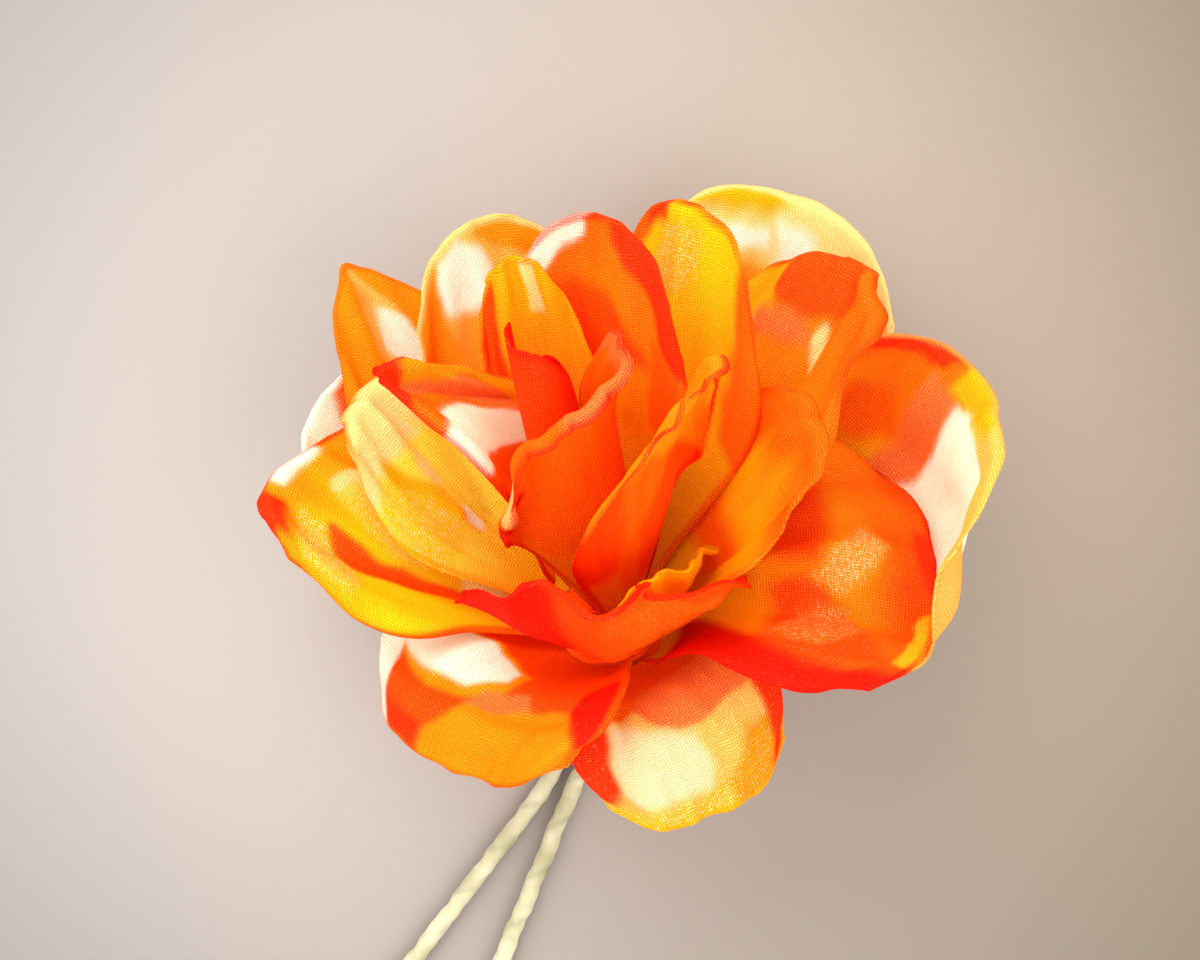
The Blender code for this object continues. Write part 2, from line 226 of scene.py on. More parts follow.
def petal_grid(p):
    """The petal's middle surface, as rows of points from the root to the rim, left to right."""
    s, t = shares(ROWS, COLUMNS)
    root = (core_radius(p.root) + CLEAR - CLOTH / 2, p.root)
    line = curve_through((root,) + p.middle)
    slope = np.gradient(line, axis=0)
    slope /= np.linalg.norm(slope, axis=1)[:, None]
    reach = s * (1 - p.corner * np.abs(t) ** SHOULDER - p.tip * np.abs(t))
    share = np.linspace(0, 1, len(line))
    out, height = (np.interp(reach, share, line[:, k]) for k in (0, 1))
    slope_out, slope_up = (np.interp(reach, share, slope[:, k]) for k in (0, 1))

    swell = np.sin(np.pi / 2 * np.clip(s / WIDEST, 0, 1)) ** FLARE
    half = p.width / 2 * (p.foot + (1 - p.foot) * swell)
    half = half * (1 - DRAWN_IN * smooth_step(s, WIDEST, 1))
    roll = np.radians(np.where(t < 0, p.left, p.right)) / (ROLL_BAND * half)
    roll = roll * smooth_step(s, *ROLL_ROWS) * smooth_step(np.abs(t), *ROLL_SIDES)
    step = half * 2 / COLUMNS
    bend = (p.wrap / np.maximum(out, LEAST_BEND) - roll) * step

    middle = COLUMNS // 2
    side = np.zeros_like(s)
    inward = np.zeros_like(s)
    for sign in (1, -1):
        angle = np.zeros(ROWS + 1)
        for k in range(1, middle + 1):
            now = middle + sign * k
            before = now - sign
            angle = angle + (bend[:, now] + bend[:, before]) / 2
            side[:, now] = side[:, before] + sign * np.cos(angle) * step[:, now]
            inward[:, now] = inward[:, before] + np.sin(angle) * step[:, now]
    wave = p.ruffle * s**2 * np.cos(p.waves * np.pi * t)

    turn = np.radians(p.turn + p.lean * s)[..., None]
    away = FORWARD * np.cos(turn) + RIGHT * np.sin(turn)
    across = RIGHT * np.cos(turn) - FORWARD * np.sin(turn)
    tangent = away * slope_out[..., None] + UP * slope_up[..., None]
    outward = away * slope_up[..., None] - UP * slope_out[..., None]
    points = away * out[..., None] + UP * height[..., None]
    points = points + across * side[..., None] + outward * (wave - inward)[..., None]
    points = points + tangent * (p.slope * side * s)[..., None]
    return rest(points + np.array(BASE))


def rest(points):
    """Presses a sheet's lowest points flat on the surface."""
    return np.stack([points[..., 0], points[..., 1], np.maximum(points[..., 2], CLOTH / 2)], axis=-1)


def bud_grid():
    """The bud's middle surface: a sheet rolled inwards from its free edge at the left."""
    s, t = shares(ROWS, BUD_COLUMNS, left=0)
    turn = np.radians(BUD_EDGE + 360 * BUD_TURNS * t)[..., None]
    away = FORWARD * np.cos(turn) + RIGHT * np.sin(turn)
    foot = CORE_TOP[1] + GAP
    line = curve_through(BUD_RIM)
    rim = np.interp(t, line[:, 0], line[:, 1])
    radius = (BUD_OUTER + (BUD_INNER - BUD_OUTER) * t) * (1 - BUD_NARROWING * s**3)
    points = away * radius[..., None] + UP * (foot + (rim - foot) * s)[..., None]
    return points + np.array(BASE)


def grid_mesh(name, points, split=False):
    """A smooth mesh on a grid of points, with its UV map, or split into triangles that alternate."""
    rows, columns = points.shape[0] - 1, points.shape[1] - 1
    mesh = bpy.data.meshes.new(name)
    grid = bmesh.new()
    grid.loops.layers.uv.new("UVMap")
    bmesh.ops.create_grid(grid, x_segments=columns, y_segments=rows, size=1, calc_uvs=True)
    if split:
        quads = list(grid.faces)
        for parity, way in ((0, "FIXED"), (1, "ALTERNATE")):
            chosen = [quad for k, quad in enumerate(quads) if (k + k // columns) % 2 == parity]
            bmesh.ops.triangulate(grid, faces=chosen, quad_method=way)
    for corner, point in zip(grid.verts, points.reshape(-1, 3)):
        corner.co = Vector(point) * MM
    grid.to_mesh(mesh)
    grid.free()
    mesh.shade_smooth()
    return mesh


class Sheet:
    """A sheet's points with what is needed to find how far other points lie from it."""

    def __init__(self, points, faces):
        self.points = points
        self.faces = faces
        flat = points.reshape(-1, 3)
        self.tree = BVHTree.FromPolygons([Vector(v) for v in flat], faces.tolist())
        corners = flat[faces]
        normal = np.cross(corners[:, 1] - corners[:, 0], corners[:, 2] - corners[:, 0])
        normal /= np.linalg.norm(normal, axis=1)[:, None]
        at_points = np.zeros_like(flat)
        for k in range(3):
            np.add.at(at_points, faces[:, k], normal)
        at_points /= np.linalg.norm(at_points, axis=1)[:, None]
        self.outward = at_points
        # Samples: the corners, edge middles and centre of each triangle, each with its face
        parts = np.array([[1, 0, 0], [0, 1, 0], [0, 0, 1], [0.5, 0.5, 0], [0, 0.5, 0.5], [0.5, 0, 0.5]])
        parts = np.vstack([parts, [1 / 3, 1 / 3, 1 / 3]])
        self.samples = np.einsum("sk,fkx->fsx", parts, corners).reshape(-1, 3)
        aim = np.einsum("sk,fkx->fsx", parts, at_points[faces]).reshape(-1, 3)
        self.aims = aim / np.linalg.norm(aim, axis=1)[:, None]
        self.sample_faces = np.repeat(np.arange(len(faces)), len(parts))
        self.low = flat.min(axis=0)
        self.high = flat.max(axis=0)

    def near(self, other):
        return bool(np.all(self.low - REACH < other.high) and np.all(other.low - REACH < self.high))


def needed_shift(own, others):
    """How far each point of a petal has to move outwards to clear the sheets inside it."""
    need = np.zeros(len(own.outward))

    def ask(face, shift):
        for k in own.faces[face]:
            need[k] = max(need[k], shift)

    for other in others:
        if not own.near(other):
            continue
        for spot, aim, face in zip(own.samples, own.aims, own.sample_faces):
            start = Vector(spot + aim * REACH)
            hit, normal, _, distance = other.tree.ray_cast(start, Vector(-aim), REACH + 2 * CLEAR)
            if hit is None or normal.dot(Vector(aim)) < ALIKE:
                continue
            shift = REACH - distance + CLEAR / max(normal.dot(Vector(aim)), STEEPEST)
            if shift > 0:
                ask(face, shift)
        for spot, aim in zip(other.samples, other.aims):
            place = Vector(spot)
            hit, normal, face, distance = own.tree.find_nearest(place, REACH)
            if hit is None or normal.dot(Vector(aim)) < ALIKE:
                continue
            level = (place - hit).dot(normal)
            if distance > CLEAR and abs(level) < SQUARE * distance:
                continue
            if level > -CLEAR:
                ask(face, level + CLEAR)
    return need


def soften(need, shape):
    """Spreads a shift to the points round it, never below what is needed."""
    need = need.reshape(shape)
    shift = need
    for _ in range(SOFTENING):
        padded = np.pad(shift, 1, mode="edge")
        around = padded[:-2, 1:-1] + padded[2:, 1:-1] + padded[1:-1, :-2] + padded[1:-1, 2:]
        shift = np.maximum(need, (around + 2 * shift) / 6)
    return shift.reshape(-1)


def lay_over(points, faces, others):
    """Moves a petal outwards until it lies clear of every sheet inside it."""
    shape = points.shape
    for _ in range(ROUNDS):
        own = Sheet(points, faces)
        need = needed_shift(own, others)
        if need.max() < SMALL:
            break
        shift = soften(need, shape[:2])
        points = rest(points + (own.outward * shift[:, None]).reshape(shape))
    return points


def grid_faces(points):
    """The triangles of the model's sheet on a grid of this size."""
    mesh = grid_mesh("faces", points, split=True)
    faces = np.array([tuple(face.vertices) for face in mesh.polygons])
    bpy.data.meshes.remove(mesh)
    return faces


def all_sheets():
    """The bud and the petals, from the inside out, each laid over the ones before."""
    bud = bud_grid()
    laid = [Sheet(bud, grid_faces(bud))]
    faces = grid_faces(petal_grid(PETALS[0]))
    for p in PETALS:
        points = lay_over(petal_grid(p), faces, laid)
        laid.append(Sheet(points, faces))
    return laid


# How many times finer than the model a sheet is drawn, and the cloth's real thickness
FINER = 6
FINE_CLOTH = 0.2

# The ripple of a petal's rim and its finer creases: heights, how far along each sets in, the waves
# in each and how strong one of them may be, and how far along the root lies still
RIPPLE = 0.6
RIPPLE_FROM = 0.45
RIPPLE_WAVES = (2, 3, 5)
CREASES = 0.1
CREASES_FROM = (0.1, 0.5)
CREASE_WAVES = (9, 13, 17)
WAVE_STRENGTHS = (0.4, 1.0)
STILL_ROOT = (0.05, 0.3)

# How far a sheet looks for others, what share of the way to them its folds may take, and what
# is kept clear of that
ROOM_REACH = 5.0
ROOM_SHARE = 0.45
ROOM_KEPT = 0.15

# The rims curl outwards: how much cloth curls at least, how far it turns, in how many steps, how
# much of it there may be for the room beside it, what it adds to the shares along and across, over
# how many points to each side its width is evened out, and how much narrower it gets to the ends
# of a side
CURL = 0.5
CURL_TURN = 75
CURL_STEPS = 6
CURL_ROOM = 2.0
CURL_SHARE = 0.2
CURL_EVEN = 6
CURL_NARROWER = 0.8
CURL_ENDS = (0.8, 1)

# These petals' roots go on under the binding: how far, and how far they turn
TABBED = ("low_left", "low_front")
TAB = 2.5
TAB_TURN = 12.0

# A lip is a rim that curls further: its side (top, left or right), how far along that side it
# starts and ends, how much cloth curls, and how far it turns. LIP_FULL is the share of the way from
# its middle to its end that has all of it.
LIP_FULL = 0.4
Lip = namedtuple("Lip", "side start end width turn")
LIPS = {
    "heart_left": (Lip("right", 0.4, 1.1, 1.6, 150), Lip("top", -0.9, 1.2, 1.4, 110)),
    "heart_right": (Lip("left", 0.45, 1.1, 3.0, 170), Lip("top", -1.2, 0.6, 2.4, 150)),
    "heart_front": (Lip("right", 0.5, 1.1, 2.2, 120), Lip("top", 0.2, 1.3, 2.2, 130)),
    "ear": (Lip("left", 0.45, 1.1, 3.0, 110), Lip("top", -1.2, 0.2, 2.5, 120)),
    "left": (Lip("right", 0.3, 1.1, 2.6, 120), Lip("top", -0.2, 1.2, 1.8, 100)),
    "left_inner": (Lip("top", -0.9, 0.9, 2.2, 110),),
    "low_left": (Lip("left", 0.4, 1.1, 2.0, 110), Lip("top", -0.7, 0.9, 1.4, 90)),
    "low_front": (Lip("left", 0.5, 1.1, 1.6, 110), Lip("right", 0.5, 1.0, 1.4, 90)),
    "right": (Lip("top", -0.9, 0.6, 1.6, 100),),
    "right_front": (Lip("left", 0.4, 1.0, 1.4, 90),),
    "front": (Lip("top", -0.9, 0.9, 1.4, 90),),
    "crown": (Lip("left", 0.5, 1.1, 1.6, 110),),
    "tall": (Lip("left", 0.4, 1.1, 1.8, 110), Lip("top", -0.4, 1.1, 1.2, 90)),
    "right_inner": (Lip("top", -0.9, 0.9, 1.8, 100),),
    "point_left": (Lip("right", 0.5, 1.1, 1.6, 110),),
    "back_right": (Lip("top", -0.9, 0.9, 1.4, 90),),
}

# A fold runs from one place on a petal to another, each as how far along and how far to the right
# from -1 to 1. Then come its height, out from the axis, and how wide it is. FOLD_FALL is how
# steeply its sides fall.
FOLD_FALL = 1.4
Fold = namedtuple("Fold", "along side along_to side_to height width")
FOLDS = {
    "left": (
        Fold(0.85, 0.6, 0.3, 0.45, 1.6, 1.6),
        Fold(0.95, -0.1, 0.5, -0.1, -1.2, 1.8),
        Fold(0.9, -0.6, 0.6, -0.3, 0.9, 1.6),
    ),
    "left_inner": (Fold(0.9, 0.1, 0.5, 0.2, -0.9, 1.6), Fold(0.8, -0.6, 0.4, -0.3, 0.8, 1.8)),
    "low_left": (
        Fold(0.72, -0.9, 0.62, 0.6, 1.5, 1.7),
        Fold(0.8, -0.55, 0.35, -0.45, -1.3, 1.5),
    ),
    "low_front": (Fold(0.9, -0.7, 0.4, -0.5, 1.2, 1.3), Fold(0.9, 0.5, 0.4, 0.2, -1.0, 2.0)),
    "right": (
        Fold(1.0, 0.35, 0.6, 0.15, -1.5, 2.4),
        Fold(0.9, -0.45, 0.6, -0.2, 1.2, 2.5),
        Fold(0.95, 0.8, 0.6, 0.6, 1.0, 1.8),
    ),
    "right_front": (
        Fold(0.95, 0.3, 0.4, 0.1, -1.4, 2.2),
        Fold(0.95, -0.25, 0.5, -0.3, 1.6, 2.4),
        Fold(0.9, 0.8, 0.5, 0.6, 1.0, 1.8),
    ),
    "front": (Fold(1.0, 0.0, 0.3, 0.0, 0.9, 1.8), Fold(0.9, 0.55, 0.4, 0.35, -0.8, 1.8)),
    "ear": (Fold(0.95, -0.35, 0.5, -0.1, 1.5, 1.3), Fold(0.95, 0.4, 0.5, 0.3, -0.9, 1.8)),
    "back_right": (
        Fold(1.0, -0.1, 0.6, 0.0, -1.4, 2.0),
        Fold(0.95, 0.5, 0.6, 0.4, 1.0, 2.0),
        Fold(0.9, -0.6, 0.6, -0.4, 1.2, 2.0),
    ),
    "tall": (Fold(1.0, 0.1, 0.3, 0.0, -0.8, 1.8),),
    "crown": (Fold(0.95, 0.3, 0.5, 0.0, 0.9, 1.6), Fold(0.9, -0.4, 0.5, -0.4, -0.8, 1.4)),
    "back_left": (Fold(1.0, 0.2, 0.5, 0.1, -1.0, 1.8), Fold(0.9, -0.4, 0.5, -0.3, 0.9, 1.6)),
    "point_left": (Fold(0.9, 0.0, 0.4, 0.0, 1.2, 1.4),),
    "right_inner": (Fold(0.9, 0.1, 0.4, 0.0, -1.0, 1.8), Fold(0.9, -0.6, 0.4, -0.4, 0.9, 1.6)),
    "heart_left": (Fold(0.95, 0.7, 0.8, -0.6, 1.3, 1.0), Fold(0.98, 0.1, 0.9, -0.2, -1.0, 1.2)),
    "heart_front": (Fold(0.95, -0.2, 0.4, 0.0, -0.6, 1.4),),
    "heart_right": (Fold(0.95, 0.2, 0.4, 0.1, 0.5, 1.4),),
}

# The tones, as they look on the cloth: red, green and blue. They serve the cloth's own dyes and the light
# and shade painted onto it
WHITE = (255, 246, 232)
IVORY = (248, 230, 192)
CREAM = (255, 228, 160)
SAND = (255, 205, 105)
STRAW = (255, 232, 80)
LEMON = (255, 214, 10)
YELLOW = (255, 196, 8)
AMBER = (255, 168, 4)
PEACH = (255, 142, 66)
ORANGE = (255, 128, 0)
TANGERINE = (255, 98, 0)
FLAME = (250, 66, 0)
RED = (236, 34, 0)

# The tone of the painted glints on the threads: a painted highlight where the sun passes them
PAINTED_GLINT_TONE = (255, 243, 180)

# root, middle and rim are a petal's tones along its length, and edge that of its outline: the
# cloth's own dye, with the shade of overlapping layers painted in as deeper tones. Patches are
# painted light, where light passes a single layer, and painted shade, where other petals overlap,
# with some of the cloth's own dye among them. A patch has a tone of its own, a border that is so
# many millimetres soft, a painted glint from 0 to 1, and its corners: each is how far along the
# petal, in hundredths, and how far to the right, from -100 to 100. A corner past 100 lies beyond
# the rim.
DyeAndPaintedLight = namedtuple("DyeAndPaintedLight", "root middle rim edge patches", defaults=((),))
DYES_AND_PAINTED_LIGHT = {
    "bud": DyeAndPaintedLight(ORANGE, TANGERINE, FLAME, RED),
    "heart_left": DyeAndPaintedLight(AMBER, ORANGE, ORANGE, RED, (
        (PEACH, 0.4, 0.1, "97 75, 96 -10, 90 -50, 76 -66, 80 -30, 90 40"),
        (AMBER, 0.5, 0, "96 50, 93 10, 93 -20, 98 -50, 130 -50, 130 50"),
        (AMBER, 0.5, 0, "130 -55, 93 -60, 70 -80, 60 -130, 130 -130"),
        (FLAME, 0.5, 0, "99 35, 93 60, 90 130, 130 130, 130 30"),
        (WHITE, 0.4, 0.3, "77 130, 79 10, 75 -30, 73 -60, 60 -55, 62 130"),
    )),
    "heart_right": DyeAndPaintedLight(AMBER, ORANGE, ORANGE, RED, (
        (PEACH, 0.8, 0.1, "130 -40, 95 -30, 90 30, 95 100, 130 100"),
        (SAND, 0.4, 0.6, "98 -80, 86 -82, 84 -130, 98 -130"),
        (RED, 0.4, 0, "72 -75, 66 -90, 60 -130, 80 -130"),
    )),
    "heart_back": DyeAndPaintedLight(AMBER, AMBER, YELLOW, AMBER, (
        (TANGERINE, 0.5, 0, "130 60, 95 55, 80 60, 60 50, 60 130, 130 130"),
        (CREAM, 0.4, 0.3, "130 -30, 86 -20, 86 -32, 130 -45"),
    )),
    "heart_front": DyeAndPaintedLight(AMBER, AMBER, AMBER, RED, (
        (ORANGE, 1.4, 0, "90 -10, 70 -40, 40 -50, 15 -30, 15 130, 90 130"),
        (TANGERINE, 1.0, 0, "62 40, 50 10, 30 0, 15 20, 15 130, 62 130"),
        (TANGERINE, 1.4, 0, "75 -50, 55 -40, 30 -50, 30 -130, 75 -130"),
        (AMBER, 1.0, 0.1, "72 10, 66 50, 66 130, 130 130, 130 -130, 95 -130"),
    )),
    "crown": DyeAndPaintedLight(AMBER, AMBER, ORANGE, FLAME, (
        (FLAME, 0.8, 0, "130 -30, 95 -35, 85 -75, 76 -85, 76 -130, 130 -130"),
        (ORANGE, 0.8, 0, "74 -70, 50 -70, 50 -130, 74 -130"),
        (TANGERINE, 1.2, 0, "85 60, 80 -20, 65 -60, 60 0, 72 60"),
        (WHITE, 0.6, 0.2, "88 90, 90 60, 94 35, 97 10, 130 -10, 130 130"),
    )),
    "front_inner": DyeAndPaintedLight(YELLOW, YELLOW, LEMON, AMBER),
    "left_inner": DyeAndPaintedLight(YELLOW, STRAW, STRAW, AMBER, (
        (CREAM, 0.8, 0.1, "130 -30, 82 -20, 82 30, 88 90, 130 130"),
        (CREAM, 0.7, 0.2, "92 -30, 82 -35, 68 -90, 80 -130, 130 -130, 130 -30"),
        (CREAM, 0.7, 0.2, "76 3, 70 0, 64 7, 65 13, 72 12"),
        (YELLOW, 0.6, 0, "86 50, 60 20, 40 12, 40 20, 60 34, 80 60"),
        (LEMON, 0.8, 0.42, "85 70, 62 36, 48 30, 46 70, 60 130, 85 130"),
        (WHITE, 0.3, 0.4, "48 8, 41 6, 40 15, 45 20"),
    )),
    "tall": DyeAndPaintedLight(AMBER, YELLOW, LEMON, TANGERINE, (
        (YELLOW, 0.9, 0.45, "96 30, 96 -20, 80 -10, 78 30"),
        (ORANGE, 0.9, 0, "130 -80, 90 -75, 60 -75, 50 -80, 50 -130, 130 -130"),
        (ORANGE, 0.9, 0, "96 50, 80 80, 70 130, 130 130, 130 40"),
        (FLAME, 0.8, 0, "98.5 30, 98 50, 130 55, 130 25"),
    )),
    "right_inner": DyeAndPaintedLight(YELLOW, YELLOW, ORANGE, ORANGE, (
        (ORANGE, 1.8, 0, "50 50, 46 10, 45 -40, 30 -40, 30 50"),
        (LEMON, 1.0, 0, "85 75, 60 55, 50 70, 70 95"),
    )),
    "front": DyeAndPaintedLight(ORANGE, TANGERINE, TANGERINE, RED, (
        (RED, 2.4, 0, "20 -20, 60 -25, 130 -40, 130 -130, 20 -130"),
        (ORANGE, 2.0, 0.15, "30 20, 90 10, 95 50, 80 80, 30 60"),
    )),
    "ear": DyeAndPaintedLight(AMBER, AMBER, ORANGE, TANGERINE, (
        (TANGERINE, 0.6, 0, "97 50, 88 45, 84 10, 90 -30, 98 -40, 130 0"),
        (YELLOW, 0.5, 0, "97 60, 88 52, 82 40, 74 60, 85 130, 130 130"),
        (PEACH, 1.0, 0.15, "82 50, 82 0, 79 -10, 77 5, 76 50"),
        (CREAM, 0.5, 0.6, "84 -22, 80 -18, 75 -22, 73 -28, 79 -29"),
    )),
    "left": DyeAndPaintedLight(YELLOW, LEMON, AMBER, FLAME, (
        (LEMON, 0.8, 0.5, "84 -10, 85 10, 66 28, 50 36, 42 10, 60 -30"),
        (YELLOW, 0.8, 0.5, "90 45, 80 46, 70 78, 76 95, 92 90"),
        (TANGERINE, 0.5, 0, "79 43, 70 68, 55 62, 42 56, 28 50, 30 42, 45 42, 60 46"),
        (WHITE, 0.5, 0.1, "99 -15, 99 30, 130 35, 130 -20"),
        (FLAME, 0.8, 0, "97 50, 97.5 80, 130 90, 130 42"),
        (CREAM, 0.5, 0.3, "33 20, 20 15, 18 50, 30 46"),
        (CREAM, 0.3, 0.2, "87 4, 85 10, 80 -20, 82 -24"),
    )),
    "back_left": DyeAndPaintedLight(AMBER, AMBER, SAND, CREAM, (
        (WHITE, 0.7, 0, "98 30, 97 55, 86 62, 80 30, 84 0, 93 10"),
        (AMBER, 0.7, 0, "130 10, 97 5, 93 -20, 90 -60, 130 -70"),
        (AMBER, 0.7, 0, "97 66, 86 62, 70 50, 70 130, 95 130"),
    )),
    "point_left": DyeAndPaintedLight(ORANGE, AMBER, AMBER, ORANGE, (
        (SAND, 0.8, 0, "98 0, 90 -20, 70 -30, 66 0, 80 15"),
        (WHITE, 0.6, 0.1, "88 -8, 86 -24, 74 -26, 70 -10, 78 5"),
    )),
    "right_front": DyeAndPaintedLight(YELLOW, AMBER, TANGERINE, RED, (
        (TANGERINE, 1.4, 0, "62 70, 60 10, 50 10, 40 30, 45 80"),
        (RED, 1.1, 0, "10 -20, 35 -62, 60 -80, 80 -86, 130 -85, 130 -130, 10 -130"),
        (TANGERINE, 1.2, 0.1, "60 0, 66 -20, 90 -75, 70 -85, 50 -75, 45 -10"),
        (AMBER, 0.9, 0.55, "58 -2, 66 20, 73 34, 80 28, 74 0, 66 -12"),
        (ORANGE, 0.9, 0.35, "55 -30, 70 -20, 76 -40, 66 -70, 50 -65"),
        (YELLOW, 0.3, 0.2, "94 -72, 95.5 -45, 97.5 -15, 130 -5, 130 -80"),
        (FLAME, 0.6, 0, "92 35, 98 10, 130 10, 130 60, 96 50"),
    )),
    "low_left": DyeAndPaintedLight(TANGERINE, TANGERINE, TANGERINE, ORANGE, (
        (AMBER, 0.5, 0, "62 -130, 68 -78, 68 -50, 65 -30, 56 -2, 40 6, 32 -25, 40 -80"),
        (WHITE, 0.35, 0, "60 -130, 65 -78, 61 -50, 58 -30, 48 -7, 40 -5, 36 -25, 38 -50, 44 -75, "
                         "50 -130"),
        (PEACH, 0.5, 0.1, "68 -20, 64 12, 58 28, 52 20, 60 -10"),
        (AMBER, 0.5, 0, "130 -55, 93 -50, 85 -36, 78 -25, 70 -17, 66 5, 60 28, 58 50, 60 66, 70 78, "
                        "85 90, 130 110"),
        (RED, 0.5, 0, "50 75, 60 70, 70 82, 85 96, 85 130, 40 130"),
        (FLAME, 0.9, 0, "86 -80, 86 -50, 94 -52, 130 -55, 130 -82"),
        (WHITE, 0.3, 0, "45 -130, 50 -98, 70 -90, 90 -86, 130 -82, 130 -130"),
    )),
    "low_front": DyeAndPaintedLight(ORANGE, ORANGE, SAND, YELLOW, (
        (PEACH, 0.6, 0.12, "30 -20, 42 -32, 52 -22, 57 -3, 58 20, 55 40, 55 80, 28 80"),
        (SAND, 0.3, 0.3, "42 -36, 53 -20, 58 0, 59 22, 56 42, 57 80, 75 80, 90 50, 130 50, "
                         "130 -100, 80 -75, 60 -72, 44 -70"),
        (IVORY, 0.8, 0.35, "46 -60, 55 -20, 62 10, 75 15, 92 10, 95 -60, 80 -70, 60 -66"),
        (YELLOW, 0.9, 0.5, "95 -90, 90 -30, 90 20, 84 60, 130 90, 130 -130"),
        (AMBER, 0.8, 0.25, "98 30, 82 40, 70 62, 75 85, 130 90, 130 20"),
        (FLAME, 0.5, 0.1, "55 88, 80 84, 130 90, 130 130, 50 130"),
        (FLAME, 0.5, 0.1, "30 -70, 55 -74, 80 -80, 92 -95, 92 -130, 30 -130"),
    )),
    "right": DyeAndPaintedLight(LEMON, YELLOW, ORANGE, SAND, (
        (ORANGE, 1.2, 0, "78 62, 82 42, 76 30, 66 40, 64 58"),
        (PEACH, 0.6, 0.1, "93 30, 93 6, 78 4, 62 12, 60 26, 75 26"),
        (SAND, 0.5, 0.2, "130 -20, 90 0, 50 5, 50 -90, 90 -130, 130 -130"),
        (WHITE, 0.5, 0.3, "93 5, 80 3, 70 5, 60 12, 45 10, 50 -50, 70 -65, 90 -50, 95 -20"),
        (YELLOW, 0.7, 0, "95 16, 96.5 -10, 98.5 -35, 130 -35, 130 20"),
        (FLAME, 0.6, 0, "95 85, 96 50, 97 30, 130 25, 130 130, 90 130"),
    )),
    "back_right": DyeAndPaintedLight(YELLOW, YELLOW, CREAM, CREAM, (
        (WHITE, 1.1, 0.1, "95 -10, 94 -30, 88 -35, 86 -10"),
        (WHITE, 0.8, 0.1, "92 55, 92 0, 89 0, 88 60"),
        (YELLOW, 1.2, 0, "102 70, 96.5 30, 97 -2, 100 -12, 106 -10, 110 60"),
        (AMBER, 1.0, 0, "83 60, 83 0, 60 0, 60 80"),
        (SAND, 1.4, 0.1, "94 -60, 80 -50, 60 -60, 60 -130, 92 -130"),
    )),
    "far_left": DyeAndPaintedLight(AMBER, SAND, WHITE, WHITE, (
        (PEACH, 0.8, 0, "130 -30, 90 -20, 85 10, 93 10"),
    )),
    "low_right": DyeAndPaintedLight(ORANGE, AMBER, AMBER, ORANGE),
    "low_back": DyeAndPaintedLight(ORANGE, AMBER, AMBER, ORANGE),
}

# The borders between tones: how far the two clouds of waves move them along the petal, where along
# it the root's tone turns into the middle's and that into the rim's, how far and along which
# directions the outlines of the painted light and shade patches wander, and how far they spread.
# DYE_DEPTH is how much deeper than it looks a dye is.
CLOUDS = (0.06, 0.05)
TO_MIDDLE = (0.15, 0.5)
TO_RIM = (0.6, 1.0)
WANDER = 0.3
WANDER_WAYS = ((0.3, 0.5), (0.5, -0.2))
PATCH_SPREAD = 0.4
DYE_DEPTH = 1.05

# The dye of the outline: how far in, in millimetres, it is full and ends, how strong it is and how
# much that varies, and how much of the painted glint it takes away
EDGE_BAND = (0.35, 1.0)
EDGE_STRENGTH = 0.7
EDGE_VARIES = 0.3
EDGE_DULL = 0.7


def linear(colour):
    """A colour of 0 to 255 as light, which Blender's shaders take."""
    c = np.array(colour, float) / 255
    return np.where(c < 0.04045, c / 12.92, ((c + 0.055) / 1.055) ** 2.4)


def dyed(colour):
    """The cloth's own colour: light passes the cloth more than once, so it is paler than it looks."""
    return linear(colour) ** DYE_DEPTH


def refine(points, times):
    """A smooth surface through a grid of points, with that many steps for each of its own."""
    for axis in (0, 1):
        p = np.moveaxis(points, axis, 0)
        p = np.concatenate([2 * p[:1] - p[1:2], p, 2 * p[-1:] - p[-2:-1]])
        x = (np.arange(times) / times)[None, :, None, None]
        line = smooth_between(p[:-3, None], p[1:-2, None], p[2:-1, None], p[3:, None], x)
        line = np.concatenate([line.reshape(-1, *line.shape[2:]), p[-2:-1]])
        points = np.moveaxis(line, 0, axis)
    return points


def outward_of(points):
    """The direction that each point of a grid faces, away from the axis."""
    along = np.gradient(points, axis=0)
    across = np.gradient(points, axis=1)
    facing = np.cross(across, along)
    return facing / np.maximum(np.linalg.norm(facing, axis=2), 1e-9)[..., None]


def waves(x, counts, random):
    """A sum of waves with random strengths and places, from -1 to 1."""
    strengths = random.uniform(*WAVE_STRENGTHS, len(counts))
    places = random.uniform(0, 2 * math.pi, len(counts))
    total = sum(a * np.cos(n * x + place) for n, a, place in zip(counts, strengths, places))
    return total / strengths.sum()


def edge_distance(points, rolled):
    """How far each point of a grid lies from the sheet's free outline, in millimetres."""
    from_top = lengths(points[::-1])[::-1]
    from_side = lengths(points, axis=1)
    if not rolled:
        from_side = np.minimum(from_side, lengths(points[:, ::-1], axis=1)[:, ::-1])
    return np.minimum(from_top, from_side)


def room_beside(sheet, others):
    """How far each point of a sheet may move out, and in, before it nears another sheet."""
    points = sheet.points.reshape(-1, 3)
    room = np.full((2, len(points)), ROOM_REACH)
    for other in others:
        if not sheet.near(other):
            continue
        for k, (point, outward) in enumerate(zip(points, sheet.outward)):
            hit, _, _, distance = other.tree.find_nearest(Vector(point), ROOM_REACH)
            if hit is None:
                continue
            level = np.dot(np.array(hit) - point, outward)
            if level > -distance / 2:
                room[0, k] = min(room[0, k], distance)
            if level < distance / 2:
                room[1, k] = min(room[1, k], distance)
    room = np.maximum(room * ROOM_SHARE - ROOM_KEPT, SMALL)
    return room.reshape(2, *sheet.points.shape[:2])


def laid_flat(s, t, length, width):
    """Where shares along and across a petal lie on its cloth, in millimetres from its root."""
    return np.stack([s * length, t * width / 2], axis=-1)


def from_line(place, start, end):
    """How far each place lies from the line between two points."""
    way = end - start
    share = np.clip(((place - start) @ way) / (way @ way), 0, 1)
    return np.linalg.norm(place - start - share[..., None] * way, axis=2)


